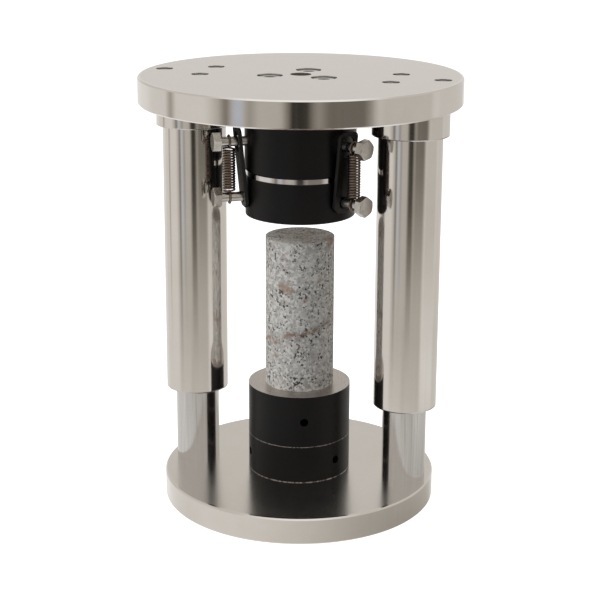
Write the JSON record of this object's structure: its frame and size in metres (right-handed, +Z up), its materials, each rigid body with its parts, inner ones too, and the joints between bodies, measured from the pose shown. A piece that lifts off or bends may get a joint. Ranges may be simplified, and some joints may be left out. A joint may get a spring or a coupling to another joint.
{
  "type": "rock compression tester",
  "caption": "Pillar-guided compression fixture for rock cores: its head carries a spring-held spherical seat and platen above a fixed lower platen that holds a cylindrical core.",
  "frame": {"origin": "centre of the base plate's underside", "axes": "+Z up along the loading axis, +X through the right-hand column, -Y towards the front between the columns"},
  "size_m": [0.23, 0.23, 0.3135],
  "materials": {
    "nickel_plate": "satin nickel plate",
    "ground_steel": "ground and hardened",
    "black_steel": "black oxide, soft sheen",
    "black_link": "matt black",
    "polished_steel": "polished",
    "stainless": "turned stainless steel",
    "spring_steel": "drawn stainless wire",
    "zinc_steel": "zinc plate",
    "bronze": "bearing bronze",
    "granite": "cut and ground granite"
  },
  "bodies": {
    "base": {"base_plate": "nickel_plate", "guide_post_left": "ground_steel", "guide_post_right": "ground_steel", "post_screws": "zinc_steel", "lower_platen_base": "black_steel", "centre_screw": "zinc_steel", "lower_platen": "black_steel", "platen_stud": "zinc_steel", "return_spring_left": "spring_steel", "return_spring_right": "spring_steel"},
    "specimen": {"rock_specimen": "granite"},
    "head": {"top_plate": "nickel_plate", "guide_sleeve_left": "nickel_plate", "guide_sleeve_right": "nickel_plate", "lower_bush_left": "bronze", "lower_bush_right": "bronze", "upper_bush_left": "bronze", "upper_bush_right": "bronze", "flange_screws": "zinc_steel", "seat_housing": "black_steel", "seat_screws": "zinc_steel", "upper_spring_bolts": "stainless"},
    "spring_set": {"tension_spring_left": "spring_steel", "tension_spring_right": "spring_steel", "tension_spring_rear": "spring_steel"},
    "platen": {"ball_segment": "polished_steel", "ball_screw": "zinc_steel", "upper_platen": "black_steel", "lower_spring_bolts": "stainless", "retaining_link_left": "black_link", "retaining_link_right": "black_link", "retaining_link_rear": "black_link"}
  },
  "joints": [
    {"name": "head_slide", "type": "slide", "parent": "base", "child": "head", "axis": [0, 0, 1], "range_m": [-0.015, 0.01], "stiffness_N_per_m": 11730, "springref_m": 0.01, "deforming": ["return_spring_left", "return_spring_right"]},
    {"name": "seat_tilt_x", "type": "hinge", "parent": "head", "child": "spring_set", "pos_m": [0, 0, 0.2135], "axis": [1, 0, 0], "range_deg": [-2, 2], "stiffness_Nm_per_rad": 6, "deforming": ["tension_spring_left", "tension_spring_right", "tension_spring_rear"]},
    {"name": "seat_tilt_y", "type": "hinge", "parent": "spring_set", "child": "platen", "pos_m": [0, 0, 0.2135], "axis": [0, 1, 0], "range_deg": [-2, 2], "stiffness_Nm_per_rad": 6},
    {"name": "specimen_slide", "type": "slide", "parent": "base", "child": "specimen", "axis": [0, -1, 0], "range_m": [0, 0.145]}
  ]
}
